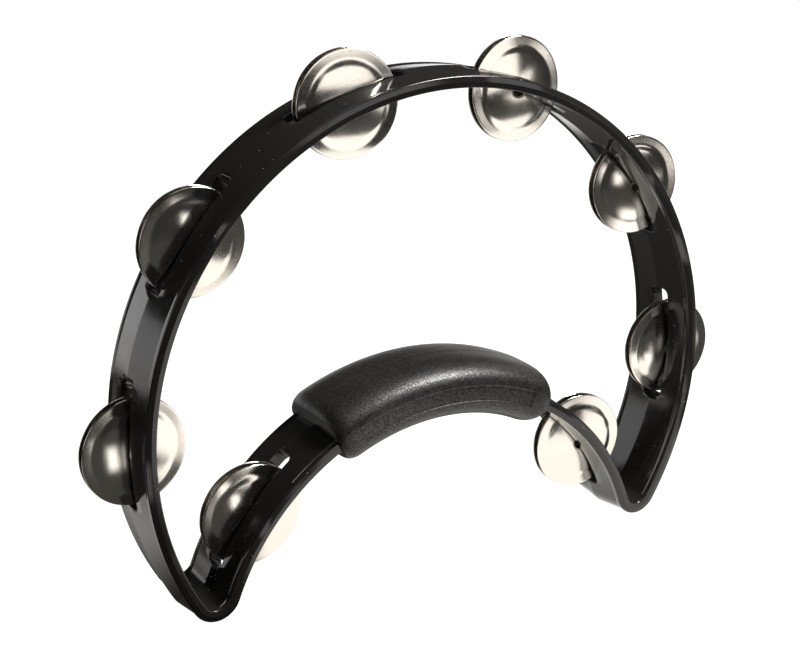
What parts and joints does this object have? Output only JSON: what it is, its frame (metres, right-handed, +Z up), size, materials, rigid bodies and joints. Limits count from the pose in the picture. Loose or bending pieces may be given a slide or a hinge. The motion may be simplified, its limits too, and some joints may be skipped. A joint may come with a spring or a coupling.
{
  "type": "tambourine",
  "caption": "Crescent hand percussion instrument: a moulded band with slots, loose pairs of domed metal jingles on pins, and a soft grip on the inner arc.",
  "frame": {"origin": "on the ground midway between the two horn tips, at the middle of the band's width", "axes": "+Z up from the horn tips to the top of the outer arc, +X to the right, -Y the front edge of the band"},
  "size_m": [0.31, 0.0444, 0.2235],
  "materials": {
    "frame_plastic": "glossy moulded black plastic with fine handling scratches",
    "grip_rubber": "matte black rubber with a fine stippled grain",
    "pin_steel": "bright drawn steel wire",
    "jingle_nickel": "nickel plate with a slightly grainy stamped surface"
  },
  "bodies": {
    "frame": {"frame": "frame_plastic", "grip": "grip_rubber", "pin_top_left": "pin_steel", "pin_top_right": "pin_steel", "pin_upper_left": "pin_steel", "pin_upper_right": "pin_steel", "pin_lower_left": "pin_steel", "pin_lower_right": "pin_steel", "pin_inner_left": "pin_steel", "pin_inner_right": "pin_steel"},
    "jingle_top_left_front": {"jingle_top_left_front": "jingle_nickel"},
    "jingle_top_left_rear": {"jingle_top_left_rear": "jingle_nickel"},
    "jingle_top_right_front": {"jingle_top_right_front": "jingle_nickel"},
    "jingle_top_right_rear": {"jingle_top_right_rear": "jingle_nickel"},
    "jingle_upper_left_front": {"jingle_upper_left_front": "jingle_nickel"},
    "jingle_upper_left_rear": {"jingle_upper_left_rear": "jingle_nickel"},
    "jingle_upper_right_front": {"jingle_upper_right_front": "jingle_nickel"},
    "jingle_upper_right_rear": {"jingle_upper_right_rear": "jingle_nickel"},
    "jingle_lower_left_front": {"jingle_lower_left_front": "jingle_nickel"},
    "jingle_lower_left_rear": {"jingle_lower_left_rear": "jingle_nickel"},
    "jingle_lower_right_front": {"jingle_lower_right_front": "jingle_nickel"},
    "jingle_lower_right_rear": {"jingle_lower_right_rear": "jingle_nickel"},
    "jingle_inner_left_front": {"jingle_inner_left_front": "jingle_nickel"},
    "jingle_inner_left_rear": {"jingle_inner_left_rear": "jingle_nickel"},
    "jingle_inner_right_front": {"jingle_inner_right_front": "jingle_nickel"},
    "jingle_inner_right_rear": {"jingle_inner_right_rear": "jingle_nickel"}
  },
  "joints": [
    {"name": "slide_top_left_front", "type": "slide", "parent": "frame", "child": "jingle_top_left_front", "axis": [0, 1, 0], "range_m": [-0.0002, 0.0012]},
    {"name": "slide_top_left_rear", "type": "slide", "parent": "frame", "child": "jingle_top_left_rear", "axis": [0, 1, 0], "range_m": [-0.0012, 0.002]},
    {"name": "slide_top_right_front", "type": "slide", "parent": "frame", "child": "jingle_top_right_front", "axis": [0, 1, 0], "range_m": [-0.0002, 0.0012]},
    {"name": "slide_top_right_rear", "type": "slide", "parent": "frame", "child": "jingle_top_right_rear", "axis": [0, 1, 0], "range_m": [-0.0012, 0.002]},
    {"name": "slide_upper_left_front", "type": "slide", "parent": "frame", "child": "jingle_upper_left_front", "axis": [0, 1, 0], "range_m": [-0.0002, 0.0012]},
    {"name": "slide_upper_left_rear", "type": "slide", "parent": "frame", "child": "jingle_upper_left_rear", "axis": [0, 1, 0], "range_m": [-0.0012, 0.002]},
    {"name": "slide_upper_right_front", "type": "slide", "parent": "frame", "child": "jingle_upper_right_front", "axis": [0, 1, 0], "range_m": [-0.0002, 0.0012]},
    {"name": "slide_upper_right_rear", "type": "slide", "parent": "frame", "child": "jingle_upper_right_rear", "axis": [0, 1, 0], "range_m": [-0.0012, 0.002]},
    {"name": "slide_lower_left_front", "type": "slide", "parent": "frame", "child": "jingle_lower_left_front", "axis": [0, 1, 0], "range_m": [-0.0002, 0.0012]},
    {"name": "slide_lower_left_rear", "type": "slide", "parent": "frame", "child": "jingle_lower_left_rear", "axis": [0, 1, 0], "range_m": [-0.0012, 0.002]},
    {"name": "slide_lower_right_front", "type": "slide", "parent": "frame", "child": "jingle_lower_right_front", "axis": [0, 1, 0], "range_m": [-0.0002, 0.0012]},
    {"name": "slide_lower_right_rear", "type": "slide", "parent": "frame", "child": "jingle_lower_right_rear", "axis": [0, 1, 0], "range_m": [-0.0012, 0.002]},
    {"name": "slide_inner_left_front", "type": "slide", "parent": "frame", "child": "jingle_inner_left_front", "axis": [0, 1, 0], "range_m": [-0.0002, 0.0012]},
    {"name": "slide_inner_left_rear", "type": "slide", "parent": "frame", "child": "jingle_inner_left_rear", "axis": [0, 1, 0], "range_m": [-0.0012, 0.002]},
    {"name": "slide_inner_right_front", "type": "slide", "parent": "frame", "child": "jingle_inner_right_front", "axis": [0, 1, 0], "range_m": [-0.0002, 0.0012]},
    {"name": "slide_inner_right_rear", "type": "slide", "parent": "frame", "child": "jingle_inner_right_rear", "axis": [0, 1, 0], "range_m": [-0.0012, 0.002]}
  ]
}
